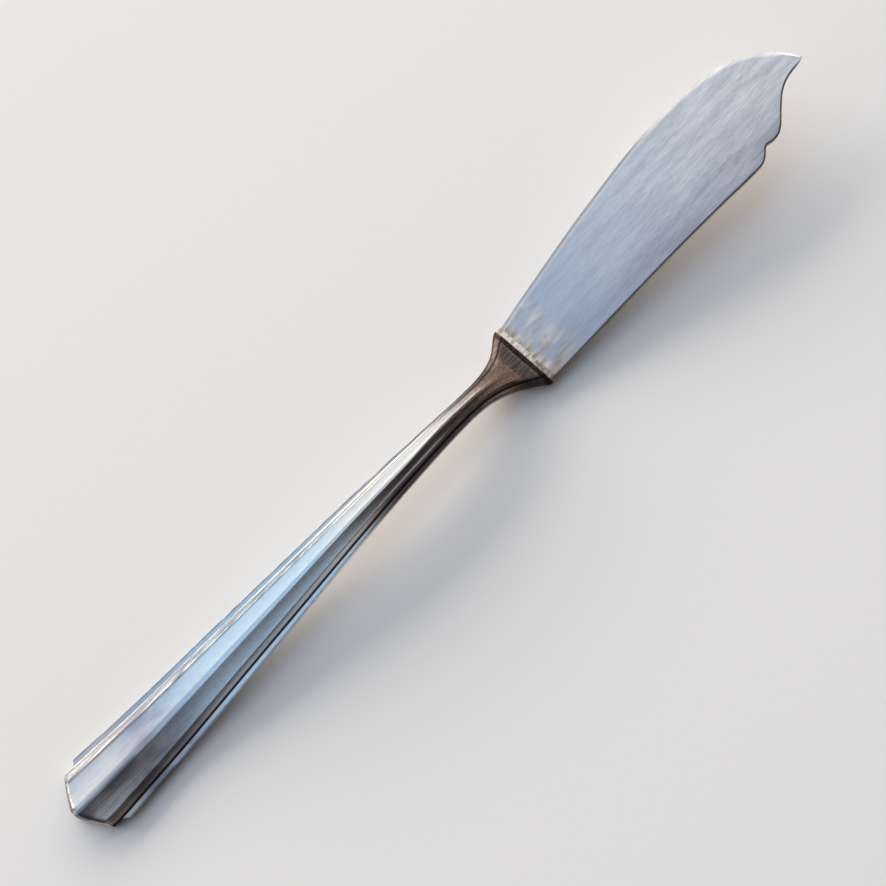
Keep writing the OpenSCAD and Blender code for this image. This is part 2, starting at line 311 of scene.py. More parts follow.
def combine(piece: bpy.types.Object, other: bpy.types.Object, joining: Joining) -> None:
    """Cuts another solid out of a piece or joins it on, and removes that solid.

    Args:
        piece: The piece that stays.
        other: The solid that is used up.
        joining: Whether it cuts the piece or joins it.
    """
    pick(piece)
    modifier = piece.modifiers.new(other.name, "BOOLEAN")
    modifier.operation, modifier.solver, modifier.object = joining.value, "EXACT", other
    bpy.ops.object.modifier_apply(modifier=modifier.name)
    bpy.data.objects.remove(other)


def mark_points(piece: bpy.types.Object, name: str, value_at: Callable[[Vector], float]) -> None:
    """Stores a value on each point of a piece for its material to read.

    Args:
        piece: The piece, with its final mesh.
        name: The attribute's name.
        value_at: Gives the value at a point in the frame, in metres.
    """
    values = [value_at(v.co) for v in piece.data.vertices]
    attribute = piece.data.attributes.new(name, "FLOAT", "POINT")
    attribute.data.foreach_set("value", values)


@dataclass(frozen=True)
class KnifeAxis:
    """Where the knife's own axis lies in the frame, and how the blade climbs along it."""

    end_x: float
    axis_y: float
    length: float
    handle_length: float = 122.0
    seam_height: float = 1.6
    tip_height: float = 13.0

    @classmethod
    def from_frame(cls) -> "KnifeAxis":
        """Reads the knife's place from the CAD handle and blade.

        Returns:
            The axis, from the handle's end to the blade's tip.
        """
        low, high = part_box("handle")
        _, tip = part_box("blade")
        return cls(low.x / MM, (low.y + high.y) / 2 / MM, (tip.x - low.x) / MM)

    @property
    def climb(self) -> float:
        """The angle at which the blade climbs from the seam to its tip, in radians."""
        return math.atan2(self.tip_height - self.seam_height, self.length - self.handle_length)

    @property
    def blade_length(self) -> float:
        """The blade's length along its own middle plane."""
        return (self.length - self.handle_length) / math.cos(self.climb)

    def place(self, x: float, y: float, z: float) -> Vector:
        """Puts a point of the handle into the frame."""
        return Vector((self.end_x + x, self.axis_y + y, z)) * MM

    def place_on_blade(self, x: float, y: float, z: float) -> Vector:
        """Puts a point of the blade into the frame.

        Args:
            x: Distance from the seam along the blade's middle plane.
            y: Distance from the axis.
            z: Distance above the middle plane.

        Returns:
            The point in the frame, in metres.
        """
        cosine, sine = math.cos(self.climb), math.sin(self.climb)
        return self.place(self.handle_length + x * cosine - z * sine, y,
                          self.seam_height + x * sine + z * cosine)

    def from_place(self, point: Vector) -> Vector:
        """Turns a point of the frame back into millimetres from the handle's end and axis."""
        return Vector((point.x / MM - self.end_x, point.y / MM - self.axis_y, point.z / MM))


class SilverPiece:
    """A piece of the knife, which stands for one CAD node and takes one finish."""

    node: ClassVar[str]
    slot: ClassVar[str]

    def dress(self, piece: bpy.types.Object, finish: bpy.types.Material) -> None:
        """Gives the piece its finish and its place in the frame, and reports it.

        Args:
            piece: The finished mesh.
            finish: The material that it is made of.
        """
        piece.data.materials.clear()
        piece.data.materials.append(finish)
        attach(piece, "root")
        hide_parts(self.node)
        LOG.info("%s stands for %s: %d points", piece.name, self.node, len(piece.data.vertices))


@dataclass
class FlutedHandle(SilverPiece):
    """The struck handle: a pointed, fluted grip with side ledges, an arched neck and a shoulder."""

    node: ClassVar[str] = "handle"
    slot: ClassVar[str] = "silver_plate_handle"

    axis: KnifeAxis
    grip_width: float = 15.4
    panel_width: float = 13.3
    point_depth: float = 3.5
    point_blunt: float = 0.25
    point_round_share: float = 0.82
    ledge_start: float = 5.5
    ledge_cut: float = 1.1
    ledge_thickness: float = 2.1
    least_ledge: float = 0.03
    crease_rise: float = 1.1
    step_middle_share: float = 0.56
    ridge_rise: float = 0.55
    ridge_fall: float = 1.18
    ridge_neck_share: float = 0.45
    flute_depth: float = 0.09
    flute_fade: Point = (8.0, 36.0)
    flute_left: float = 0.4
    flute_lean: float = 0.33
    crest_width: float = 1.3
    end_bevel: float = 1.2222
    end_wall_share: float = 0.4
    end_soft_reach: float = 0.1
    end_soft_depth: float = 0.15
    neck_width: float = 4.8
    waist_share: float = 0.5
    waist_power: float = 4.0
    neck_thickness: float = 3.1
    thinning: float = 1.15
    arch_height: float = 6.4
    flare_length: float = 17.5
    shoulder_width: float = 15.6
    shoulder_thickness: float = 3.2
    shoulder_drop_share: float = 0.3
    drop_shares: Point = (0.2, 0.45)
    groove_depth: float = 0.4
    groove_width: float = 1.6
    groove_side_share: float = 0.5
    rest_flat: float = 0.08
    under_flat_share: float = 0.6
    under_rounding: float = 0.35
    chevron_length: float = 9.0
    side_depth: float = 0.4
    side_shares: Sequence[float] = (0.2, 0.5, 0.8)
    lean_length: float = 3.0
    arris_wear: float = 0.16
    wear_shares: Sequence[float] = (0, 1.5, 2, 0.6, 0, 1, 0)
    crest_wear: float = 0.1
    arch_shares: Table = (
        (0, 0.1), (0.035, 0.02), (0.075, 0), (0.15, 0), (0.19, 0.04), (0.235, 0.13),
        (0.32, 0.33), (0.45, 0.58), (0.6, 0.89), (0.69, 1), (0.77, 0.985), (0.83, 0.91),
        (0.885, 0.7), (0.93, 0.31), (0.955, 0.08), (0.968, 0), (1.02, 0))
    flare_shares: Table = (
        (0, 0), (0.25, 0.03), (0.45, 0.13), (0.6, 0.28), (0.72, 0.45), (0.83, 0.68),
        (0.92, 0.9), (0.98, 1), (1.1, 1))
    runout_shares: Point = (0.42, 0.86)
    crease_shares: Point = (0.52, 0.665)
    foot_neck_share: float = 0.75
    panel_shares: Sequence[float] = (
        0.07, 0.12, 0.18, 0.25, 0.33, 0.42, 0.52, 0.62, 0.71, 0.79, 0.86, 0.92)

    point_travels: Sequence[float] = (0.0, 0.12, 0.25, 0.4, 0.6, 0.8, 1.0, 1.25)
    ledge_travel: float = 1.6
    ledge_pitch: float = 0.25
    ledge_rings: int = 24
    grip_rings: int = 120
    flare_rings: int = 64
    slot_clearance: float = 0.05
    smooth_degrees: float = 38.0

    # Where the belly side, which faces the window, is painted darker to dim the window's glint on
    # its step, rim and end.
    step_glint_shade_inside: Point = (-0.45, -0.1)
    step_glint_shade_outside: Point = (1.2, 0.9)
    step_glint_shade_thins: Point = (58, 84)
    step_glint_shade_lost: float = 0.75
    rim_glint_shade: Point = (-0.5, -0.2)
    end_glint_shade: Point = (1.3, 0.5)
    belly_glint_shade: Point = (0, 0.6)
    neck_tarnish: Point = (96, 112)
    # Painted shade on the spine side's flank and crest, with a line along the crease left out of
    # it.
    flank_tarnish: Point = (66, 84)
    flank_limit: Point = (0.1, 0.5)
    over_crest: float = 0.8
    over_crest_zone: Point = (84, 100)
    rubbed_line: Point = (0.3, 0)
    rubbed_inset: float = 0.15
    rubbed_zone: Point = (100, 92)
    rubbed_share: float = 0.8
    most_tarnish: float = 0.98
    under_tarnish: float = 0.1

    @property
    def flare_start(self) -> float:
        """Where the neck starts to widen towards the shoulder."""
        return self.axis.handle_length - self.flare_length

    def grip_share(self, x: float) -> float:
        """Falls from 1 at the wide end to 0 at the neck."""
        return 1 - clamp01((x - self.ledge_start) / (self.flare_start - self.ledge_start))

    def outer(self, x: float) -> float:
        """Measures the half width over the ledges.

        Args:
            x: Place along the handle.

        Returns:
            The half width there.
        """
        share = self.grip_share(x)
        waisted = share * (1 - self.waist_share * (1 - share)**self.waist_power)
        taper = mix(self.neck_width, self.grip_width, waisted) / 2
        u = (x - self.flare_start) / self.flare_length
        if u <= 0:
            return taper
        return taper + (self.shoulder_width - self.neck_width) / 2 * curve_at(self.flare_shares, u)

    def live(self, x: float) -> float:
        """How much of the flutes is left: 1 along the grip, 0 on the shoulder."""
        return 1 - zone((x - self.flare_start) / self.flare_length, *self.runout_shares)

    def foot(self, x: float) -> float:
        """Half width of the raised panel at the foot of its step."""
        share = mix(self.foot_neck_share, self.panel_width / self.grip_width, self.grip_share(x))
        return min(self.outer(x) * share, self.panel_width / 2)

    def crease(self, x: float) -> float:
        """Half width of the panel at its side creases."""
        return self.outer(x) * mix(*self.crease_shares, self.grip_share(x))

    def underside(self, x: float) -> float:
        """Height of the underside's middle above the table."""
        return self.arch_height * curve_at(self.arch_shares, x / self.axis.handle_length)

    def wall(self, x: float) -> float:
        """Thickness from the underside to the ledges."""
        thin = ease(self.grip_share(x) * self.thinning)
        return mix(mix(self.neck_thickness, self.ledge_thickness, thin), self.shoulder_thickness,
                   1 - self.live(x))

    def groove(self, x: float) -> float:
        """Depth of the groove that crosses the shoulder before the seam."""
        from_middle = abs(x - (self.axis.handle_length - self.groove_width * 0.5))
        return self.groove_depth * (1 - ease(2 * from_middle / self.groove_width))

    def flute(self, x: float, u: float) -> float:
        """Measures the panel's height over its creases.

        Args:
            x: Place along the handle.
            u: Share of the way from the crest to a crease.

        Returns:
            The height there, at full relief.
        """
        depth = self.flute_depth * mix(1, self.flute_left, zone(x, *self.flute_fade))
        hollow = depth * math.sin(math.pi * u) * (1 - u * self.flute_lean)
        ridge = self.ridge_rise * mix(self.ridge_neck_share, 1, self.grip_share(x))
        return ridge * (1 - u)**self.ridge_fall - hollow

    def half_top(self, x: float, bevel: float) -> list[Point]:
        """Half of the upper outline of a section, from the ridge to the outer edge.

        Args:
            x: Place along the handle.
            bevel: How far the bevel of the pointed end has climbed here, from 0 to 1.

        Returns:
            Places across and heights above the ledge.
        """
        relief = self.live(x) * bevel
        drop = self.shoulder_drop_share * self.shoulder_thickness * (1 - self.live(x))
        inner_drop, outer_drop = [drop * share for share in self.drop_shares]
        crease, foot = self.crease(x), self.foot(x)
        ledge_full = clamp01((x - self.ledge_start) / self.ledge_cut)
        side = mix(foot + self.least_ledge, self.outer(x), ledge_full)
        crest = crease * self.crest_width / (self.grip_width * self.crease_shares[1])
        rise = [(mix(crest, crease, u), (self.crease_rise + self.flute(x, u)) * relief)
                for u in self.panel_shares]
        level = (self.crease_rise + self.flute(x, 0)) * relief
        middle = rounded([(0.0, level), (crest / 2, level), (crest, level), rise[0]],
                         (0, 0, self.crest_wear, 0))
        corners = [rise[-1], (crease, self.crease_rise * relief),
                   ((crease + foot) / 2, self.crease_rise * self.step_middle_share * relief),
                   (foot, -inner_drop), ((foot + side) / 2, -outer_drop), (side, -drop),
                   (side, -drop - self.side_depth)]
        turned = rounded(corners, [self.arris_wear * share for share in self.wear_shares])
        return middle[:-1] + rise[:-1] + turned[:-1]

    def rim_x(self, y: float) -> float:
        """Where the pointed end's rim lies at a distance from the middle."""
        reach = clamp01(y / (self.panel_width / 2))**(1 / self.point_round_share)
        return max((self.point_depth + self.point_blunt) * reach - self.point_blunt, 0)

    def ring(self, travel: float, in_end_wall: bool = False) -> list[Vector]:
        """One ring of the handle's surface.

        Args:
            travel: Distance from the pointed end along the knife.
            in_end_wall: Whether this is the flat ring in the middle of the end wall.

        Returns:
            The ring's points in the frame.
        """
        fade = 1 - ease(travel / self.chevron_length)
        climbed = 1 - (1 - clamp01(travel / self.end_bevel))**2
        half = self.half_top(travel + self.point_depth * fade, mix(self.end_wall_share, 1, climbed))
        widest = half[-1][0]
        top: list[Vector] = []
        under: list[Vector] = []
        for y, height in half:
            x = travel + self.rim_x(y) * fade
            low, wall = self.underside(x), self.wall(x)
            groove = self.groove(x) * mix(1, self.groove_side_share, clamp01(y / widest))
            turn = clamp01((y / widest - self.under_flat_share) / (1 - self.under_flat_share))
            rounding = self.under_rounding * wall * (1 - math.sqrt(max(1 - turn * turn, 0)))
            back = max(low - self.rest_flat + rounding, 0)
            crown = low + wall + height - groove
            if in_end_wall:
                crown = back = (back + crown) / 2
            elif travel < self.end_soft_reach:
                crown, back = crown - self.end_soft_depth, back + self.end_soft_depth
            top.append(self.lean(x, y, crown))
            under.append(self.lean(x, y, back))
        wall_points = [top[-1].lerp(under[-1], t) for t in self.side_shares]
        flip = 2 * self.axis.axis_y * MM
        far = [*top, *wall_points, *reversed(under[1:])]
        return [*reversed(top[1:]), *[Vector((p.x, flip - p.y, p.z)) for p in far],
                *under, *reversed(wall_points)]

    def lean(self, x: float, y: float, z: float) -> Vector:
        """Places a point, leaning the last rings so that the handle ends square to the blade.

        Args:
            x: Place along the handle.
            y: Distance from the axis.
            z: Height above the table.

        Returns:
            The point in the frame, in metres.
        """
        near = zone(x, self.axis.handle_length - self.lean_length, self.axis.handle_length)
        shift = (z - self.axis.seam_height) * math.tan(self.axis.climb) * near
        return self.axis.place(x - shift, y, z)

    def travels(self) -> list[float]:
        """Spaces the rings, close together where the shape turns.

        Returns:
            Their distances from the pointed end.
        """
        ledge = [self.ledge_travel + self.ledge_pitch * i for i in range(self.ledge_rings)]
        grip_from = ledge[-1] + 2 * self.ledge_pitch
        grip = [mix(grip_from, self.flare_start, i / self.grip_rings)
                for i in range(self.grip_rings)]
        flare = [self.flare_start + self.flare_length * i / self.flare_rings
                 for i in range(self.flare_rings + 1)]
        return [*self.point_travels, *ledge, *grip, *flare]

    def build(self) -> bpy.types.Object:
        """Models the handle and cuts the slot for the blade's tongue.

        Returns:
            The finished mesh.
        """
        rings = [self.ring(0.0, in_end_wall=True), *[self.ring(t) for t in self.travels()]]
        handle = loft("handle_forging", rings)
        close_and_turn_out(handle)
        combine(handle, Tongue(self.axis, self.slot_clearance).build("slot"), Joining.CUTS)
        smooth_by_angle(handle, self.smooth_degrees)
        mark_points(handle, "glint_shade", self.glint_shade_at)
        mark_points(handle, "tarnish", self.tarnish_at)
        mark_points(handle, "groove", self.groove_at)
        mark_points(handle, "from_foot", self.from_foot)
        return handle

    def is_upper(self, p: Vector) -> bool:
        """Tells whether a point, in millimetres, lies in the upper half of the metal."""
        return p.z > self.underside(p.x) + self.wall(p.x) / 2

    def glint_shade_at(self, point: Vector) -> float:
        """Finds a dull, darker coat on the belly side's step, edge and end: painted shade that dims
        the window's glint there.

        Args:
            point: A point in the frame.

        Returns:
            How much of it lies there, from 0 to 1.
        """
        p = self.axis.from_place(point)
        y = abs(p.y)
        crease, foot = self.crease(p.x), self.foot(p.x)
        down = (y - crease) / (foot - crease)
        step = zone(down, *self.step_glint_shade_inside) * zone(down, *self.step_glint_shade_outside)
        step *= self.live(p.x) * (1 - self.step_glint_shade_lost * zone(p.x, *self.step_glint_shade_thins))
        rim = zone(y - self.outer(p.x), *self.rim_glint_shade)
        end = zone(p.x - self.rim_x(y), *self.end_glint_shade)
        return clamp01(max(step, rim, end)) * zone(p.y, *self.belly_glint_shade)

    def tarnish_at(self, point: Vector) -> float:
        """Finds where the neck and shoulder are tarnished brown, and the painted shade that darkens
        the spine side's flank, and on the neck its crest, from the middle of the handle on.

        Args:
            point: A point in the frame.

        Returns:
            How much of them lies there, from 0 to 1.
        """
        p = self.axis.from_place(point)
        if not self.is_upper(p):
            return self.under_tarnish
        # Painted shade: the spine side's flank, and on the neck the crest, are darker, except along
        # the crease.
        from_line = abs(p.y + self.crease(p.x) - self.rubbed_inset)
        rubbed = zone(from_line, *self.rubbed_line) * zone(p.x, *self.rubbed_zone)
        reach = self.over_crest * zone(p.x, *self.over_crest_zone)
        flank = zone(reach - p.y, *self.flank_limit) * zone(p.x, *self.flank_tarnish)
        flank *= 1 - self.rubbed_share * rubbed
        return self.most_tarnish * max(zone(p.x, *self.neck_tarnish), flank)

    def groove_at(self, point: Vector) -> float:
        """How deep in the groove before the seam a point lies, from 0 to 1."""
        p = self.axis.from_place(point)
        return self.groove(p.x) / self.groove_depth * self.is_upper(p)

    def from_foot(self, point: Vector) -> float:
        """How far a point lies outside the foot of the panel's step, in millimetres."""
        p = self.axis.from_place(point)
        return abs(p.y) - self.foot(p.x)


@dataclass
class Tongue:
    """The flat tongue behind the blade that goes into the shoulder's slot."""

    axis: KnifeAxis
    clearance: float = 0.0
    length: float = 7.5
    root_width: float = 9.4
    end_width: float = 3.0
    thickness: float = 1.0
    bend: float = math.radians(12)
    overrun: float = 0.3

    def build(self, name: str) -> bpy.types.Object:
        """Models the tongue from a cube that is narrowed at its inner end.

        Args:
            name: The object's name.

        Returns:
            The tongue, in place.
        """
        deselect_all()
        bpy.ops.mesh.primitive_cube_add(size=2)
        tongue = bpy.context.active_object
        tongue.name = tongue.data.name = name
        root, end = self.root_width / 2 + self.clearance, self.end_width / 2 + self.clearance
        half_thick = self.thickness / 2 + self.clearance
        cosine, sine = math.cos(self.bend), math.sin(self.bend)
        for vertex in tongue.data.vertices:
            inner = vertex.co.x < 0
            along = -self.length - self.clearance if inner else self.overrun
            across = math.copysign(end if inner else root, vertex.co.y)
            up = math.copysign(half_thick, vertex.co.z)
            vertex.co = self.axis.place(self.axis.handle_length + along * cosine + up * sine,
                                        across, self.axis.seam_height - along * sine + up * cosine)
        return tongue


@dataclass
class FishBlade(SilverPiece):
    """The flat blade with its bevelled edges, notch and swept-up tip."""

    node: ClassVar[str] = "blade"
    slot: ClassVar[str] = "silver_plate_blade"

    axis: KnifeAxis
    root_width: float = 14.9
    belly_depth: float = 13.3
    spine_depth: float = 9.2
    root_thickness: float = 1.6
    tip_thickness: float = 1.1
    edge_drop: float = 0.2
    belly_bevel: float = 0.9
    spine_bevel: float = 0.35
    tip_bevel_share: float = 0.15
    tip_bevel_spread: float = 0.1
    tip_spread_zone: Point = (0.62, 0.82)
    tip_fade_share: float = 0.04
    root_straight: float = 1.44
    belly_shares: Table = (
        (0.09, 0.635), (0.19, 0.725), (0.31, 0.832), (0.43, 0.915), (0.535, 0.977), (0.625, 1),
        (0.715, 0.981), (0.797, 0.932), (0.868, 0.808), (0.929, 0.597), (0.974, 0.308))
    spine_shares: Table = (
        (0.13, 0.825), (0.29, 0.845), (0.44, 0.878), (0.575, 0.93), (0.672, 0.983), (0.715, 1),
        (0.733, 0.983), (0.746, 0.935), (0.758, 0.852), (0.766, 0.793), (0.775, 0.766))
    hollow_shares: Table = (
        (0.775, 0.766), (0.786, 0.797), (0.801, 0.81), (0.82, 0.773), (0.84, 0.657),
        (0.868, 0.446), (0.896, 0.25), (0.923, 0.126), (0.951, 0.067), (0.978, 0.05),
        (0.993, 0.033))
    bevel_steps: Table = (
        (0.0, 0.0), (0.5, 0.56), (0.82, 0.9), (1.0, 1.0), (1.3, 1.0))
    belly_steps: int = 9
    spine_steps: int = 8
    hollow_steps: int = 7
    smooth_degrees: float = 32.0
    # Where the belly's bevel, which faces the window, is painted darker to dim its glint.
    glint_shade_share: float = 0.5
    glint_shade_zone: Point = (26, 40)
    glint_shade_at_tip: float = 0.15

    def outline(self) -> list[Point]:
        """Draws the blade's outline along the belly to the tip and back along the spine.

        Returns:
            The outline's points, on the blade's middle plane.
        """
        length, root = self.axis.blade_length, self.root_width / 2
        belly, spine, hollow = [
            [(x * length, y * depth) for x, y in shares] for shares, depth in (
                (self.belly_shares, self.belly_depth), (self.spine_shares, -self.spine_depth),
                (self.hollow_shares, -self.spine_depth))]
        belly = through([(self.root_straight, root), *belly, (length, 0)], self.belly_steps)
        spine = through([(self.root_straight, -root), *spine], self.spine_steps)
        hollow = through(hollow, self.hollow_steps)
        return [(0, root), *belly, (length, 0), *reversed([(0, -root), *spine, *hollow])]

    def inset(self, outline: Table, i: int, share: float) -> Point:
        """Moves an outline point inwards, square to the edge.

        Args:
            outline: The whole outline.
            i: The point's number.
            share: How far it moves, as a share of the edge's bevel.

        Returns:
            The moved point.
        """
        last, length = len(outline) - 1, self.axis.blade_length
        x, y = outline[i]
        belly = i <= outline.index((length, 0))
        reach = (self.belly_bevel if belly else self.spine_bevel) * share
        if i < 2:
            return x, y - reach
        if i > last - 2:
            return x, y + reach
        along = (Vector(outline[i + 1]) - Vector(outline[i - 1])).normalized()
        reach *= clamp01(self.tip_bevel_share + (length - x) / (self.tip_fade_share * length))
        if belly:
            reach *= 1 + self.tip_bevel_spread * zone(x / length, *self.tip_spread_zone)
        return x + along.y * reach, y - along.x * reach

    def half_thickness(self, x: float) -> float:
        """Half of the blade's thickness at a place along it."""
        return mix(self.root_thickness, self.tip_thickness, clamp01(x / self.axis.blade_length)) / 2

    def loop(self, share: float, climb: float, side: Side) -> list[Vector]:
        """One loop round the blade.

        Args:
            share: How far it lies inside the outline, as a share of the edge's bevel.
            climb: How far it has climbed from the edge to the broad face, from 0 to 1.
            side: The broad side it lies on.

        Returns:
            The loop's points in the frame.
        """
        outline = self.outline()
        points = []
        for i in range(len(outline)):
            x, y = self.inset(outline, i, share)
            z = self.half_thickness(x) - self.edge_drop * (1 - climb)
            points.append(self.axis.place_on_blade(x, y, z * side.value))
        return points

    def build(self) -> bpy.types.Object:
        """Models the blade as loops from one broad face over its edge to the other.

        Returns:
            The finished mesh.
        """
        loops = [self.loop(share, climb, Side.UPPER) for share, climb in reversed(self.bevel_steps)]
        loops += [self.loop(share, climb, Side.UNDER) for share, climb in self.bevel_steps]
        blade = loft("blade_plate", loops)
        close_and_turn_out(blade)
        combine(blade, Tongue(self.axis).build("tongue"), Joining.JOINS)
        smooth_by_angle(blade, self.smooth_degrees)
        belly = [self.axis.place_on_blade(x, y, 0) for x, y in self.outline() if y > 0]
        mark_points(blade, "glint_shade", lambda point: self.glint_shade_at(point, belly))
        return blade

    def glint_shade_at(self, point: Vector, belly: Sequence[Vector]) -> float:
        """Finds painted shade that dims the window's glint on the belly's bevel, less of it towards
        the tip.

        Args:
            point: A point in the frame.
            belly: The belly's outline in the frame.

        Returns:
            How much of it lies there, from 0 to 1.
        """
        near = min((point.xy - edge.xy).length for edge in belly) / MM
        on_bevel = zone(near, self.belly_bevel, self.glint_shade_share * self.belly_bevel)
        from_tip = self.axis.length - self.axis.from_place(point).x
        return on_bevel * mix(self.glint_shade_at_tip, 1, zone(from_tip, *self.glint_shade_zone))


@dataclass
class SolderSeam(SilverPiece):
    """The solder that fills the corner between the shoulder's end and the blade."""

    node: ClassVar[str] = "solder_seam"
    slot: ClassVar[str] = "solder"

    blade: FishBlade
    shoulder_width: float = 15.6
    shoulder_thickness: float = 3.2
    rim_drop_share: float = 0.1
    length: float = 1.2
    inset: float = 0.15
    feather: float = 0.1
    slope_shares: Table = (
        (0, 0), (0.1, 0.12), (0.22, 0.38), (0.4, 0.66), (0.6, 0.84), (0.8, 0.95), (1, 1))
    side_steps: int = 24
    uneven_rate: Point = (0.9, 0.8)
    unevenness: float = 0.06
    uneven_along: float = 1.5
    uneven_up: float = 0.4
    smooth_degrees: float = 50.0

    def section(self, half_y: float, half_z: float, side_z: float) -> list[Point]:
        """Draws the section of the solder, or of the blade inside it, with straight chamfers.

        Args:
            half_y: Half of its width.
            half_z: Half of its height.
            side_z: Half of the height of its sides.

        Returns:
            The closed outline's points.
        """
        belly, spine = half_y - self.blade.belly_bevel, self.blade.spine_bevel - half_y
        top = [(mix(belly, spine, i / self.side_steps), half_z)
               for i in range(self.side_steps + 1)]
        upper = [(half_y, side_z), *top, (-half_y, side_z)]
        return upper + [(y, -z) for y, z in reversed(upper)]

    def slope_ring(self, along: float, fall: float) -> list[Vector]:
        """One ring of the slope, slightly uneven past the shoulder's end.

        Args:
            along: Its place as a share of the solder's length.
            fall: How far the slope has fallen from the rim to the blade, from 0 to 1.

        Returns:
            The ring's points in the frame.
        """
        x = along * self.length
        rim_y = self.shoulder_width / 2 - self.inset
        rim_z = self.shoulder_thickness * (0.5 - self.rim_drop_share) - self.inset
        far_y = self.blade.root_width / 2 + self.feather
        far_z = self.blade.root_thickness / 2 + self.feather
        side = self.blade.half_thickness(x) - self.blade.edge_drop + self.feather
        ring = []
        for y, z in self.section(mix(rim_y, far_y, fall), mix(rim_z, far_z, fall), side):
            place = Vector((x * self.uneven_rate[0], y * self.uneven_rate[1], z))
            uneven = noise.noise(place) * self.unevenness * (along > 0)
            up = math.copysign(uneven * self.uneven_up, z) * (1 - fall)
            ring.append(self.blade.axis.place_on_blade(x + uneven * self.uneven_along * fall,
                                                       y, z + up))
        return ring

    def build(self) -> bpy.types.Object:
        """Models the solder as a sleeve: its hollow slope, and back along the blade.

        Returns:
            The finished mesh.
        """
        rings = [self.slope_ring(along, fall) for along, fall in self.slope_shares]
        for x in (self.length, 0.0):
            half_z = self.blade.half_thickness(x)
            inside = self.section(self.blade.root_width / 2, half_z, half_z - self.blade.edge_drop)
            rings.append([self.blade.axis.place_on_blade(x, y, z) for y, z in inside])
        seam = loft("solder_fillet", [*rings, rings[0]])
        close_and_turn_out(seam)
        smooth_by_angle(seam, self.smooth_degrees)
        return seam


@dataclass(frozen=True)
class Grain:
    """The size of a pattern along and across the knife, in millimetres, and its character."""

    length: float
    width: float
    detail: float = 3.0
    rough: float = 0.55
    turn: float = 0.0


class Finish:
    """A metal finish under construction: a Principled shader and the nodes that feed it."""

    def __init__(self, name: str, axis: KnifeAxis) -> None:
        """Starts a material.

        Args:
            name: The material's name.
            axis: Where the knife lies, for what changes along or across it.
        """
        self.axis = axis
        self.material = bpy.data.materials.new(name)
        self.material.use_nodes = True
        self.tree = self.material.node_tree
        self.shader = self.tree.nodes["Principled BSDF"]
        self.place = self.add(Node.COORDINATES, output="Object")
        self.split = add_node(self.tree, Node.SEPARATE, inputs={0: self.place}).outputs

    def add(self, kind: Node, settings: dict | None = None, inputs: dict | None = None,
            output: int | str = 0) -> bpy.types.NodeSocket:
        """Adds a node, as add_node does, and gives one of its outputs."""
        return add_node(self.tree, kind, settings, inputs).outputs[output]

    def drawn(self, grain: Grain) -> bpy.types.NodeSocket:
        """Draws a pattern of noise at its real size.

        Args:
            grain: The pattern's size and character.

        Returns:
            The pattern, from 0 to 1.
        """
        across = 1 / (grain.width * MM)
        turned = self.add(Node.MAPPING, inputs={
            "Vector": self.place, "Rotation": (0, 0, grain.turn),
            "Scale": (1 / (grain.length * MM), across, across)})
        return self.add(Node.NOISE, inputs={
            "Vector": turned, "Scale": 1.0, "Detail": grain.detail,
            "Roughness": grain.rough}, output="Fac")

    def along(self, start: float, end: float) -> bpy.types.NodeSocket:
        """Goes from 0 to 1 between two distances from the handle's end, in millimetres."""
        places = span((self.axis.end_x + start) * MM, (self.axis.end_x + end) * MM)
        return self.add(Node.RANGE, EASED, {"Value": self.split[0], **places})

    def across(self, start: float, end: float, low: float = 0.0,
               high: float = 1.0) -> bpy.types.NodeSocket:
        """Goes from low to high between two distances from the axis, in millimetres."""
        places = span((self.axis.axis_y + start) * MM, (self.axis.axis_y + end) * MM, low, high)
        return self.add(Node.RANGE, EASED, {"Value": self.split[1], **places})

    def close(self, colour: bpy.types.NodeSocket, roughness: bpy.types.NodeSocket,
              height: bpy.types.NodeSocket, depth: float) -> bpy.types.Material:
        """Feeds the shader of a metal.

        Args:
            colour: The metal's colour.
            roughness: Its roughness.
            height: The pattern of its fine relief.
            depth: The relief's depth in millimetres.

        Returns:
            The finished material.
        """
        bump = self.add(Node.BUMP, inputs={
            "Height": height, "Strength": 1.0, "Distance": depth * MM})
        self.tree.links.new(colour, self.shader.inputs["Base Color"])
        self.tree.links.new(roughness, self.shader.inputs["Roughness"])
        self.tree.links.new(bump, self.shader.inputs["Normal"])
        self.shader.inputs["Metallic"].default_value = 1.0
        return self.material


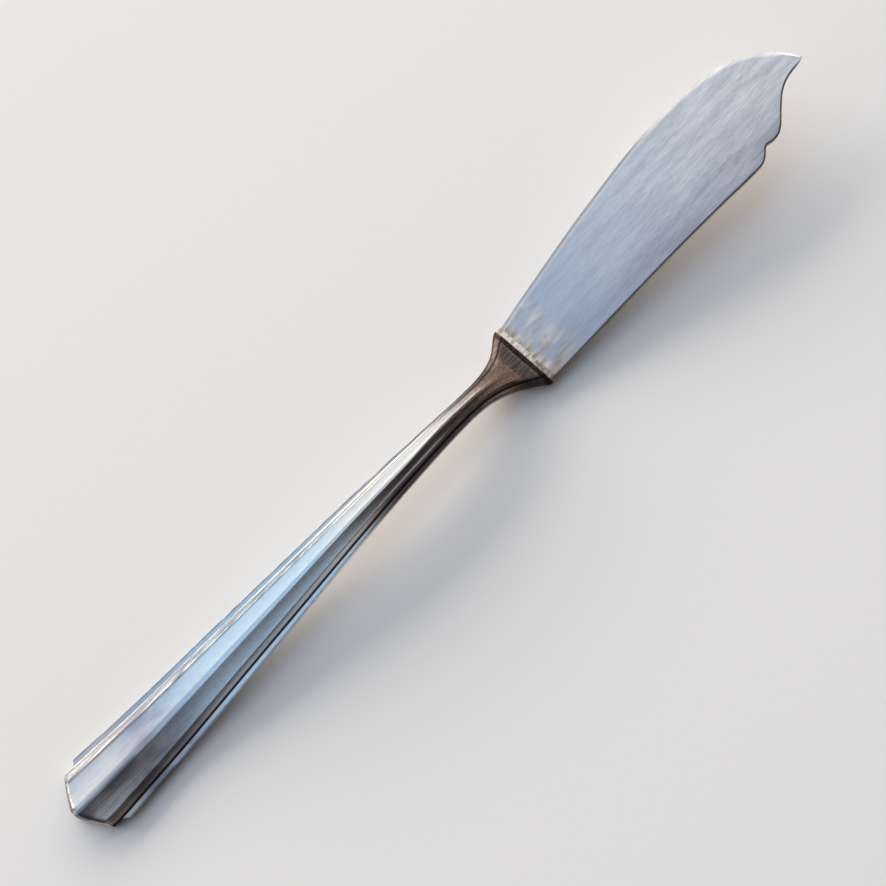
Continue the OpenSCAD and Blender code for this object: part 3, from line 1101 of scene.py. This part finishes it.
@dataclass(frozen=True)
class StruckSilverPlate:
    """Silver plate over struck nickel silver, worn and tarnished.

    It gives the eye a soft mirror with fine lengthwise rubbing and a purple-grey veil on the wide
    end, and it is tarnished brown to black where a cloth doesn't reach. Light and shade are also
    painted into its colour: the sky's blue along the grip, shade on the spine side's flank and
    veil, along the foot of the step and in the groove before the seam, and darker patches that dim
    the window's glint on the belly side.
    """

    axis: KnifeAxis
    clean: str = "#E9DFD3"
    # Painted reflection of the sky's blue along the middle of the grip, lighter on the spine side
    # as painted light.
    painted_sky_blue: str = "#CEDBDF"
    painted_sky_blue_spine: str = "#DCE8F0"
    veiled: str = "#A39BA3"
    # The veil's darker copy on the spine side: painted shade.
    shaded: str = "#857F82"
    # Painted shade that dims the window's glint on the belly side's step, rim and end.
    glint_shade: str = "#5C5F6B"
    # Brown of the tarnished neck and shoulder, and painted shade on the spine side's flank and
    # crest.
    tarnish: str = "#433534"
    # The line at the foot of the panel's step: a tarnished corner and painted shade.
    black: str = "#241F1D"
    # Painted shade, in crumbly patches, in the groove before the seam.
    groove_shade: str = "#2E2520"
    # Real rubbing marks are finer. They are drawn this wide so that they show.
    streaks: Grain = Grain(60, 0.28, 3, 0.6)
    rubbing: Grain = Grain(26, 0.09, 2, 0.5)
    clouds: Grain = Grain(9, 4)
    crumbs: Grain = Grain(0.8, 0.5, 3, 0.6)
    belly_side: Point = (-0.4, 0.4)
    spine_side: Point = (0.2, -0.2)
    veil_zone: Point = (38, 14)
    veil_clouds: Four = (0.35, 0.65, 0.5, 1)
    thinned_zone: Point = (19, 11)
    thinned_share: float = 0.7
    sky_blue_from: Point = (12, 26)
    sky_blue_until: Point = (80, 60)
    rubbed: Four = (0.4, 0.75, 0, 0.25)
    glint_shade_patches: Four = (0.3, 0.7, 0.55, 1)
    tarnish_patches: Four = (0.3, 0.7, 0.9, 1)
    groove_shade_depth: Point = (0.1, 0.8)
    groove_shade_crumbs: Four = (0.3, 0.6, 0.6, 1)
    line_zone: Point = (86, 108)
    line_inner: Point = (-0.5, -0.12)
    line_outer: Point = (0.16, 0.04)
    polish: Four = (0.3, 0.7, 0.2, 0.32)
    glint_shade_roughness: Four = (0, 1, 0, 0.22)
    tarnish_roughness: Four = (0.4, 1, 0, 0.24)
    relief: float = 0.004

    def ground(self, f: Finish, streaks: bpy.types.NodeSocket) -> bpy.types.NodeSocket:
        """Colours the plate before the glint shade and the tarnishing: its tone, the veil and the
        rubbing, with the sky's blue painted along the grip as reflection, and a darker spine side
        as painted shade.

        Args:
            f: The finish under construction.
            streaks: The pattern of the lengthwise rubbing.

        Returns:
            The colour.
        """
        belly_side = f.across(*self.belly_side)
        clouds = f.add(Node.RANGE, EASED, {
            "Value": f.drawn(self.clouds), **span(*self.veil_clouds)})
        veil = f.add(Node.MATHS, TIMES, {0: clouds, 1: f.along(*self.veil_zone)})
        # The veil is thinner on the belly side near the end.
        thinned = f.add(Node.MATHS, TIMES, {0: belly_side, 1: f.along(*self.thinned_zone)})
        lost = f.add(Node.MATHS, TIMES, {0: thinned, 1: self.thinned_share})
        left = f.add(Node.MATHS, LESS, {0: 1.0, 1: lost})
        veil = f.add(Node.MATHS, TIMES, {0: veil, 1: left})
        # Painted reflection: the sky's blue along the middle of the grip, lighter on the spine
        # side.
        middle = f.add(Node.MATHS, TIMES, {
            0: f.along(*self.sky_blue_from), 1: f.along(*self.sky_blue_until)})
        painted_sky_blue = f.add(Node.MIX, COLOURS, {0: belly_side, 6: self.painted_sky_blue_spine, 7: self.painted_sky_blue}, 2)
        clean = f.add(Node.MIX, COLOURS, {0: middle, 6: self.clean, 7: painted_sky_blue}, 2)
        # Veil and rubbing: darker on the spine side, as painted shade.
        dim = f.add(Node.MIX, COLOURS, {0: belly_side, 6: self.shaded, 7: self.veiled}, 2)
        rubbed = f.add(Node.RANGE, EASED, {"Value": streaks, **span(*self.rubbed)})
        dimmed = f.add(Node.MATHS, PLUS, {0: veil, 1: rubbed})
        return f.add(Node.MIX, COLOURS, {0: dimmed, 6: clean, 7: dim}, 2)

    def foot_tarnish_and_shade(self, f: Finish) -> bpy.types.NodeSocket:
        """Finds the dark line along the foot of the panel's step: a tarnished corner, and painted
        shade where the step shades it.

        Args:
            f: The finish under construction.

        Returns:
            How dark the line is, from 0 to 1: all along the spine's side, on the neck on both.
        """
        foot = f.add(Node.ATTRIBUTE, {"attribute_name": "from_foot"}, output="Fac")
        inner = f.add(Node.RANGE, EASED, {"Value": foot, **span(*self.line_inner)})
        outer = f.add(Node.RANGE, EASED, {"Value": foot, **span(*self.line_outer)})
        line = f.add(Node.MATHS, TIMES, {0: inner, 1: outer})
        sides = f.add(Node.MATHS, GREATER, {
            0: f.across(*self.spine_side), 1: f.along(*self.line_zone)})
        return f.add(Node.MATHS, TIMES, {0: line, 1: sides})

    def make(self) -> bpy.types.Material:
        """Builds the material.

        Returns:
            The finished material.
        """
        f = Finish("struck_silver_plate", self.axis)
        streaks = f.drawn(self.streaks)
        marks = {name: f.add(Node.ATTRIBUTE, {"attribute_name": name}, output="Fac")
                 for name in ("glint_shade", "tarnish", "groove")}
        patchy = f.add(Node.RANGE, EASED, {"Value": streaks, **span(*self.glint_shade_patches)})
        nearly_even = f.add(Node.RANGE, EASED, {"Value": streaks, **span(*self.tarnish_patches)})
        # Painted shade over the window's glint on the belly side, in patches; it also roughens the
        # plate.
        glint_shade = f.add(Node.MATHS, TIMES, {0: marks["glint_shade"], 1: patchy})
        # The tarnished neck and shoulder, and painted shade on the spine side's flank and crest.
        dull = f.add(Node.MATHS, TIMES, {0: marks["tarnish"], 1: nearly_even})
        colour = f.add(Node.MIX, COLOURS, {0: glint_shade, 6: self.ground(f, streaks), 7: self.glint_shade}, 2)
        colour = f.add(Node.MIX, COLOURS, {0: dull, 6: colour, 7: self.tarnish}, 2)
        # Painted shade in crumbly patches in the groove before the seam.
        groove = f.add(Node.RANGE, EASED, {"Value": marks["groove"], **span(*self.groove_shade_depth)})
        crumbs = f.add(Node.RANGE, EASED, {
            "Value": f.drawn(self.crumbs), **span(*self.groove_shade_crumbs)})
        shade_in_groove = f.add(Node.MATHS, TIMES, {0: groove, 1: crumbs})
        colour = f.add(Node.MIX, COLOURS, {0: shade_in_groove, 6: colour, 7: self.groove_shade}, 2)
        # The tarnished corner and painted shade along the foot of the panel's step.
        colour = f.add(Node.MIX, COLOURS, {0: self.foot_tarnish_and_shade(f), 6: colour, 7: self.black}, 2)
        rubbing = f.drawn(self.rubbing)
        polish = f.add(Node.RANGE, EASED, {"Value": rubbing, **span(*self.polish)})
        hazy = f.add(Node.RANGE, EASED, {"Value": glint_shade, **span(*self.glint_shade_roughness)})
        matt = f.add(Node.RANGE, EASED, {"Value": dull, **span(*self.tarnish_roughness)})
        rough = f.add(Node.MATHS, PLUS, {0: polish, 1: hazy})
        rough = f.add(Node.MATHS, PLUS, {0: rough, 1: matt})
        return f.close(colour, rough, streaks, self.relief)


@dataclass(frozen=True)
class SatinSilverPlate:
    """Silver plate on a rolled blade, dulled by years of lengthwise polishing.

    It gives the eye a blue-grey satin with long fine scratches and a warm stain by the solder. Its
    colour also carries painted reflection, bluer at the root and lighter and warmer towards the
    tip, and painted shade on the spine side.
    """

    axis: KnifeAxis
    # Painted reflection: bluer at the root, lighter and warmer at the tip.
    root: str = "#BCC3CA"
    root_rubbed: str = "#AAADB6"
    tip: str = "#F8ECE2"
    tip_rubbed: str = "#B2A8A8"
    bright: str = "#E2DAD0"
    stain: str = "#9C9086"
    # Painted shade that dims the window's glint on the belly's bevel.
    glint_shade: str = "#8A8A90"
    # Real polishing scratches are finer. They are drawn this wide so that they show.
    broad: Grain = Grain(400, 2.2, 2, 0.5)
    streaks: Grain = Grain(220, 0.34, 3, 0.65, 0.004)
    scratches: Grain = Grain(70, 0.09, 2, 0.6, -0.006)
    clouds: Grain = Grain(9, 1.6, 3, 0.55)
    mottle: Grain = Grain(6, 1.3, 3, 0.5)
    broad_bands: Four = (0.35, 0.65, 0, 0.3)
    fine_bands: Four = (0.3, 0.7, 0, 0.35)
    # Painted shade: the spine side is darker.
    spine_shade: Four = (1, -7, 0, 0.5)
    spine_stain: Four = (-4.5, -7.5, 0, 0.8)
    root_to_tip: Point = (-10, -4)
    stained_whole: Point = (3.6, 1.6)
    stained_partly: Point = (12, 3.5)
    stain_patches: Point = (0.32, 0.62)
    stain_mottle: Point = (0.32, 0.7)
    polish: Four = (0.3, 0.7, 0.3, 0.42)
    stain_roughness: Four = (0, 1, 0, 0.2)
    relief: float = 0.004

    def ground(self, f: Finish, streaks: bpy.types.NodeSocket) -> bpy.types.NodeSocket:
        """Colours the plate from the root to the tip, with painted reflection: bluer at the root
        and lighter and warmer towards the tip, and darker on the spine side as painted shade.

        Args:
            f: The finish under construction.
            streaks: The pattern of the lengthwise polishing.

        Returns:
            The colour.
        """
        bands = f.add(Node.RANGE, EASED, {
            "Value": f.drawn(self.broad), **span(*self.broad_bands)})
        fine = f.add(Node.RANGE, EASED, {"Value": streaks, **span(*self.fine_bands)})
        tone = f.add(Node.MATHS, PLUS, {0: bands, 1: fine})
        tone = f.add(Node.MATHS, PLUS, {0: tone, 1: f.across(*self.spine_shade)})
        root = f.add(Node.MIX, COLOURS, {0: tone, 6: self.root, 7: self.root_rubbed}, 2)
        tip = f.add(Node.MIX, COLOURS, {0: tone, 6: self.tip, 7: self.tip_rubbed}, 2)
        start, end = self.root_to_tip
        along = f.along(self.axis.handle_length + start, self.axis.length + end)
        return f.add(Node.MIX, COLOURS, {0: along, 6: root, 7: tip}, 2)

    def stained_at(self, f: Finish) -> bpy.types.NodeSocket:
        """Finds the stain that the soldering left.

        Args:
            f: The finish under construction.

        Returns:
            How strong the stain is, from 0 to 1: whole by the seam, then in patches.
        """
        seam = self.axis.handle_length
        whole, partly = [f.along(seam + start, seam + end)
                         for start, end in (self.stained_whole, self.stained_partly)]
        patches = f.add(Node.RANGE, EASED, {
            "Value": f.drawn(self.clouds), **span(*self.stain_patches)})
        patches = f.add(Node.MATHS, TIMES, {0: partly, 1: patches})
        return f.add(Node.MATHS, GREATER, {0: whole, 1: patches})

    def make(self) -> bpy.types.Material:
        """Builds the material.

        Returns:
            The finished material.
        """
        f = Finish("satin_silver_plate", self.axis)
        streaks, scratches = f.drawn(self.streaks), f.drawn(self.scratches)
        stained = self.stained_at(f)
        mottle = f.add(Node.RANGE, EASED, {
            "Value": f.drawn(self.mottle), **span(*self.stain_mottle)})
        mottle = f.add(Node.MATHS, PLUS, {0: mottle, 1: f.across(*self.spine_stain)})
        warm = f.add(Node.MIX, COLOURS, {0: mottle, 6: self.bright, 7: self.stain}, 2)
        colour = f.add(Node.MIX, COLOURS, {0: stained, 6: self.ground(f, streaks), 7: warm}, 2)
        # Painted shade over the window's glint on the belly's bevel.
        glint_shade = f.add(Node.ATTRIBUTE, {"attribute_name": "glint_shade"}, output="Fac")
        colour = f.add(Node.MIX, COLOURS, {0: glint_shade, 6: colour, 7: self.glint_shade}, 2)
        polish = f.add(Node.RANGE, EASED, {"Value": scratches, **span(*self.polish)})
        matt = f.add(Node.RANGE, EASED, {"Value": stained, **span(*self.stain_roughness)})
        rough = f.add(Node.MATHS, PLUS, {0: polish, 1: matt})
        brushed = f.add(Node.MATHS, PLUS, {0: streaks, 1: scratches})
        return f.close(colour, rough, brushed, self.relief)


@dataclass(frozen=True)
class TarnishedSolder:
    """Silver solder, filed and tarnished.

    It gives the eye a warm, slightly mottled line, painted brighter on the belly's side and duller,
    as painted shade, towards the spine and at the belly's edge.
    """

    axis: KnifeAxis
    bright: str = "#F4EADC"
    dull: str = "#94857A"
    mottle: Grain = Grain(1.2, 0.6, 3, 0.6)
    mottled: Four = (0.4, 0.66, 0, 0.8)
    # Painted shade: duller towards the spine and at the belly's edge.
    spine_shade: Four = (2, -7, 0, 0.8)
    belly_shade: Point = (6, 7)
    filed: Four = (0.3, 0.7, 0.42, 0.55)
    relief: float = 0.008

    def make(self) -> bpy.types.Material:
        """Builds the material.

        Returns:
            The finished material.
        """
        f = Finish("tarnished_solder", self.axis)
        mottle = f.drawn(self.mottle)
        tone = f.add(Node.RANGE, EASED, {"Value": mottle, **span(*self.mottled)})
        tone = f.add(Node.MATHS, PLUS, {0: tone, 1: f.across(*self.spine_shade)})
        tone = f.add(Node.MATHS, PLUS, {0: tone, 1: f.across(*self.belly_shade)})
        colour = f.add(Node.MIX, COLOURS, {0: tone, 6: self.bright, 7: self.dull}, 2)
        rough = f.add(Node.RANGE, EASED, {"Value": mottle, **span(*self.filed)})
        return f.close(colour, rough, mottle, self.relief)


@dataclass(frozen=True)
class DrawingPaper:
    """Heavy drawing paper, calendered. It gives the eye a pale matt sheet with a faint tooth."""

    tone: str = "#EBE9E9"
    tooth: float = 1.6
    tooth_detail: float = 3.0
    tooth_roughness: float = 0.6
    tooth_depth: float = 0.2
    tooth_strength: float = 0.12
    roughness: float = 0.9
    specular: float = 0.2

    def make(self) -> bpy.types.Material:
        """Builds the material.

        Returns:
            The finished material.
        """
        material = bpy.data.materials.new("drawing_paper")
        material.use_nodes = True
        tree = material.node_tree
        shader = tree.nodes["Principled BSDF"]
        place = add_node(tree, Node.COORDINATES).outputs["Object"]
        tooth = add_node(tree, Node.NOISE, inputs={
            "Vector": place, "Scale": 1 / (self.tooth * MM), "Detail": self.tooth_detail,
            "Roughness": self.tooth_roughness})
        bump = add_node(tree, Node.BUMP, inputs={
            "Height": tooth.outputs["Fac"], "Strength": self.tooth_strength,
            "Distance": self.tooth_depth * MM})
        tree.links.new(bump.outputs[0], shader.inputs["Normal"])
        shader.inputs["Base Color"].default_value = linear(self.tone)
        shader.inputs["Roughness"].default_value = self.roughness
        shader.inputs["Specular IOR Level"].default_value = self.specular
        return material


@dataclass
class Studio:
    """The pale floor, the window and room light, and the camera above the knife."""

    axis: KnifeAxis
    floor_size: float = 6.0
    distance: float = 0.316
    from_vertical: float = math.radians(17.1)
    azimuth: float = math.radians(-136.92)
    target: Point3 = (97.61, -0.63, 3.0)
    focal_pixels: float = 1622.0
    frame_pixels: float = 886.0
    sensor_width: float = 36.0
    nearest: float = 0.01
    window_place: Point3 = (0.6, 1.43, 0.525)
    window_width: float = 4.2
    window_height: float = 0.65
    window_power: float = 62.6
    window_tone: str = "#FFF8EA"
    room_strength: float = 1.92
    bands: Stops = (
        (0, "#CAC6BA"), (20, "#DFDBD3"), (32, "#E4E4DF"), (40, "#E4E6E7"), (50, "#DFE9F2"),
        (60, "#D3E4F8"), (68, "#C3DAF7"), (77, "#AFC6DF"), (83, "#9BABBF"), (90, "#8691A1"),
        (100, "#5B5B5E"), (120, "#494645"), (150, "#494747"), (165, "#8A898F"), (180, "#A3A1A1"))
    shades: Stops = (
        (0, "#A0A0A0"), (0.3, "#D0D0D0"), (0.45, "#DFDFDF"), (0.52, "#CBCBCB"),
        (0.635, "#FFFFFF"), (0.71, "#DADADA"), (0.79, "#5B5B5B"), (0.9, "#525252"),
        (1, "#7F7F7F"))
    low_shade: str = "#D8D8D8"
    shaded_from: Point = (60, 74)
    glow_toward: Point3 = (0.94, 0.25, 0.2)
    glow_reach: Point = (0.866, 0.978)
    glow_light: Four = (1.36, 1.1, 0.83, 1.0)

    def lay_floor(self) -> None:
        """Lays the pale sheet that the knife lies on."""
        deselect_all()
        bpy.ops.mesh.primitive_plane_add(size=self.floor_size)
        floor = bpy.context.active_object
        floor.name = floor.data.name = "paper_floor"
        floor.data.materials.append(DrawingPaper().make())

    def hang_window(self) -> None:
        """Adds the wide low window on the belly side of the knife."""
        deselect_all()
        bpy.ops.object.light_add(type="AREA", location=self.window_place)
        window = bpy.context.active_object
        window.name = "window"
        window.data.shape = "RECTANGLE"
        window.data.size, window.data.size_y = self.window_width, self.window_height
        window.data.energy = self.window_power
        window.data.color = linear(self.window_tone)[:3]
        window.rotation_euler = (math.radians(-90), 0, 0)

    def surround(self) -> None:
        """Sets the room around, as bands round the knife's length and a shade along it.

        The bands run in degrees from the horizon on the belly side over the ceiling to the far
        side. The shade along the knife leaves a dark place high beyond the tip, and the glow a
        warm one low there.
        """
        world = bpy.data.worlds.new("room")
        bpy.context.scene.world = world
        world.use_nodes = True
        tree = world.node_tree
        look = add_node(tree, Node.COORDINATES).outputs["Generated"]
        split = add_node(tree, Node.SEPARATE, inputs={0: look}).outputs
        turn = add_node(tree, Node.MATHS, {"operation": "ARCTAN2"}, {0: split[2], 1: split[1]})
        round_share = add_node(tree, Node.MATHS, {"operation": "DIVIDE"},
                               {0: turn.outputs[0], 1: math.pi}).outputs[0]
        bands = add_node(tree, Node.RAMP, inputs={"Fac": round_share},
                         stops=[(degrees / 180, tone) for degrees, tone in self.bands])
        along = add_node(tree, Node.RANGE, inputs={"Value": split[0], **span(-1.0, 1.0)})
        shade = add_node(tree, Node.RAMP, inputs={"Fac": along.outputs[0]}, stops=self.shades)
        high = add_node(tree, Node.RANGE, EASED, {
            "Value": round_share, **span(*[degrees / 180 for degrees in self.shaded_from])})
        shaded = add_node(tree, Node.MIX, COLOURS, {
            0: high.outputs[0], 6: self.low_shade, 7: shade.outputs[0]})
        lit = add_node(tree, Node.MIX, {**COLOURS, "blend_type": "MULTIPLY"}, {
            0: 1.0, 6: bands.outputs[0], 7: shaded.outputs[2]})
        facing = add_node(tree, Node.VECTOR_MATHS, {"operation": "DOT_PRODUCT"},
                          {0: look, 1: Vector(self.glow_toward).normalized()})
        reach = add_node(tree, Node.RANGE, EASED, {
            "Value": facing.outputs["Value"], **span(*self.glow_reach)})
        glow = add_node(tree, Node.MIX, COLOURS, {
            0: reach.outputs[0], 6: lit.outputs[2], 7: self.glow_light})
        back = tree.nodes["Background"]
        tree.links.new(glow.outputs[2], back.inputs["Color"])
        back.inputs["Strength"].default_value = self.room_strength

    def aim_camera(self) -> None:
        """Puts the camera where the photograph was taken from."""
        deselect_all()
        flat = math.sin(self.from_vertical)
        offset = Vector((flat * math.cos(self.azimuth), flat * math.sin(self.azimuth),
                         math.cos(self.from_vertical))) * self.distance
        bpy.ops.object.camera_add(location=self.axis.place(*self.target) + offset)
        camera = bpy.context.active_object
        camera.rotation_euler = (-offset).to_track_quat("-Z", "Y").to_euler()
        camera.data.sensor_fit = "HORIZONTAL"
        camera.data.sensor_width = self.sensor_width
        camera.data.lens = self.focal_pixels / self.frame_pixels * self.sensor_width
        camera.data.clip_start = self.nearest
        bpy.context.scene.camera = camera


def main() -> None:
    """Builds the knife's pieces in order, then the studio around them."""
    logging.basicConfig(level=logging.INFO, format="%(name)s: %(message)s")
    axis = KnifeAxis.from_frame()
    handle, blade = FlutedHandle(axis), FishBlade(axis)
    seam = SolderSeam(blade)
    handle.dress(handle.build(), StruckSilverPlate(axis).make())
    blade.dress(blade.build(), SatinSilverPlate(axis).make())
    seam.dress(seam.build(), TarnishedSolder(axis).make())
    studio = Studio(axis)
    studio.lay_floor()
    studio.hang_window()
    studio.surround()
    studio.aim_camera()
    bpy.context.scene.view_settings.view_transform = "Standard"


if __name__ == "__main__":
    main()
